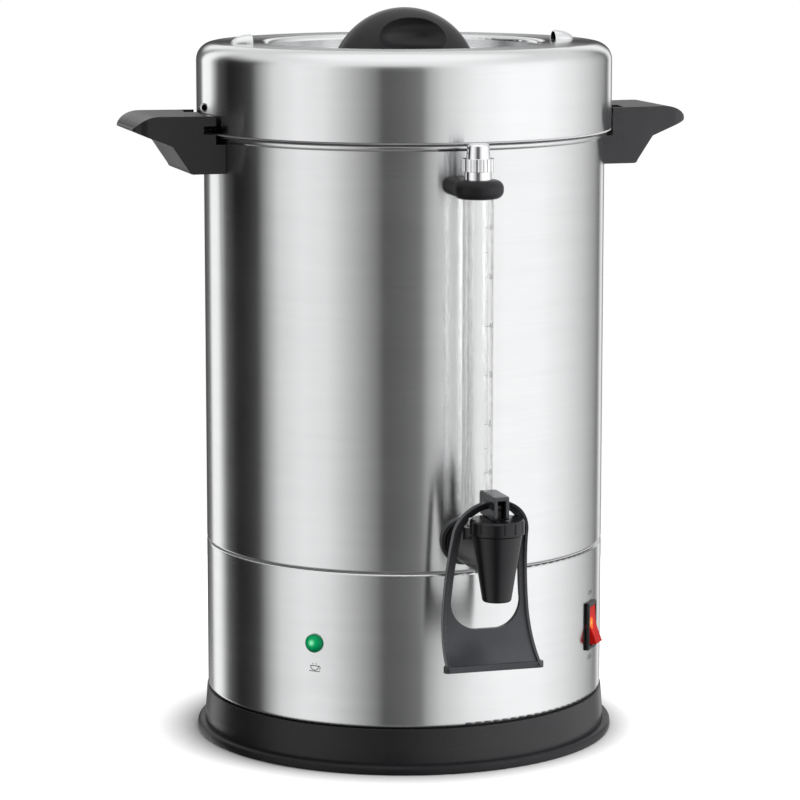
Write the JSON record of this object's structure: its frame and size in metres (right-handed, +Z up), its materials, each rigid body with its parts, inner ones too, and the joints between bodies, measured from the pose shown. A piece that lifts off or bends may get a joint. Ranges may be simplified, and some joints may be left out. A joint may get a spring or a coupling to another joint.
{
  "type": "coffee urn",
  "caption": "Cylindrical steel percolating urn with a twist-lock lid, side handles, loop-lever tap, sight gauge, ready light and rocker switch.",
  "frame": {"origin": "on the tank's axis, at the surface that the urn stands on", "axes": "+Z up, the tap faces -Y, the handles lie on the X axis"},
  "size_m": [0.356, 0.3407, 0.456],
  "materials": {
    "brushed_shell": "brushed round the body",
    "lid_steel": "finely brushed, nearly polished",
    "inner_steel": "satin",
    "zinc_steel": "zinc plated",
    "black_plastic": "satin, moulded",
    "tap_plastic": "fine satin, moulded",
    "foot_rubber": "soft, matt",
    "silicone": "smooth",
    "dark_silicone": "smooth",
    "clear_glass": "clear",
    "clear_guard": "clear plastic",
    "chrome_trim": "polished",
    "green_lens": "clear green",
    "red_rocker": "clear red, lit from within",
    "heater_metal": "cast",
    "brass": "plain",
    "pale_ceramic": "glazed"
  },
  "bodies": {
    "urn": {"foot_ring": "foot_rubber", "base_ring": "black_plastic", "base_plate": "zinc_steel", "base_screws": "zinc_steel", "lower_shell": "brushed_shell", "shell_screws": "zinc_steel", "shell_nuts": "zinc_steel", "seam_gasket": "dark_silicone", "tank": "brushed_shell", "stud_nuts": "zinc_steel", "heating_element": "heater_metal", "warming_element": "pale_ceramic", "element_clamp": "zinc_steel", "element_nut": "zinc_steel", "thermostats": "zinc_steel", "thermal_fuse": "zinc_steel", "terminal_block": "pale_ceramic", "cord_gland": "black_plastic", "handle_left": "black_plastic", "handle_right": "black_plastic", "handle_screws": "inner_steel", "handle_washers": "dark_silicone", "tap_body": "tap_plastic", "tap_washer_outer": "dark_silicone", "tap_washer_inner": "dark_silicone", "tap_nut": "brass", "tap_bonnet": "tap_plastic", "seat_cup": "silicone", "gauge_seal": "silicone", "gauge_glass": "clear_glass", "gauge_shield": "clear_guard", "gauge_bracket": "foot_rubber", "bracket_screw": "inner_steel", "gauge_collar": "chrome_trim", "ready_lens": "green_lens", "ready_lamp": "clear_glass", "ready_nut": "black_plastic", "switch_housing": "black_plastic", "switch_terminals": "brass", "pump_foot": "inner_steel", "pump_tube": "inner_steel", "brew_basket": "inner_steel", "basket_cover": "inner_steel"},
    "lid_seal": {"lid_gasket": "dark_silicone"},
    "lid": {"lid_shell": "lid_steel", "lid_knob": "black_plastic", "knob_washer": "zinc_steel", "knob_screw": "inner_steel"},
    "valve": {"valve_stem": "tap_plastic", "lever_pin": "inner_steel", "valve_spring": "inner_steel"},
    "lever": {"tap_lever": "tap_plastic"},
    "rocker": {"switch_rocker": "red_rocker"},
    "gauge_top": {"gauge_cap": "chrome_trim"}
  },
  "joints": [
    {"name": "lid_lift", "type": "slide", "parent": "urn", "child": "lid_seal", "axis": [0, 0, 1], "range_m": [0, 0.12]},
    {"name": "lid_turn", "type": "hinge", "parent": "lid_seal", "child": "lid", "pos_m": [0, 0, 0.4], "axis": [0, 0, -1], "range_deg": [-12, 0]},
    {"name": "valve_lift", "type": "slide", "parent": "urn", "child": "valve", "axis": [0, 0, 1], "range_m": [0, 0.0018], "deforming": ["valve_spring", "seat_cup"]},
    {"name": "tap_lever_rock", "type": "hinge", "parent": "valve", "child": "lever", "pos_m": [0, -0.1907, 0.175], "axis": [1, 0, 0], "range_deg": [0, 15], "stiffness_Nm_per_rad": 0.027, "springref_deg": -68.75},
    {"name": "switch_tip", "type": "hinge", "parent": "urn", "child": "rocker", "pos_m": [0.09876, -0.07744, 0.074], "axis": [0.617, 0.7869, 0], "range_deg": [0, 24]},
    {"name": "gauge_cap_turn", "type": "hinge", "parent": "urn", "child": "gauge_top", "pos_m": [0, -0.1525, 0.375], "axis": [0, 0, 1], "continuous": true}
  ],
  "couplings": [
    {"joint": "valve_lift", "follows": "tap_lever_rock", "m_per_rad": 0.0067}
  ]
}
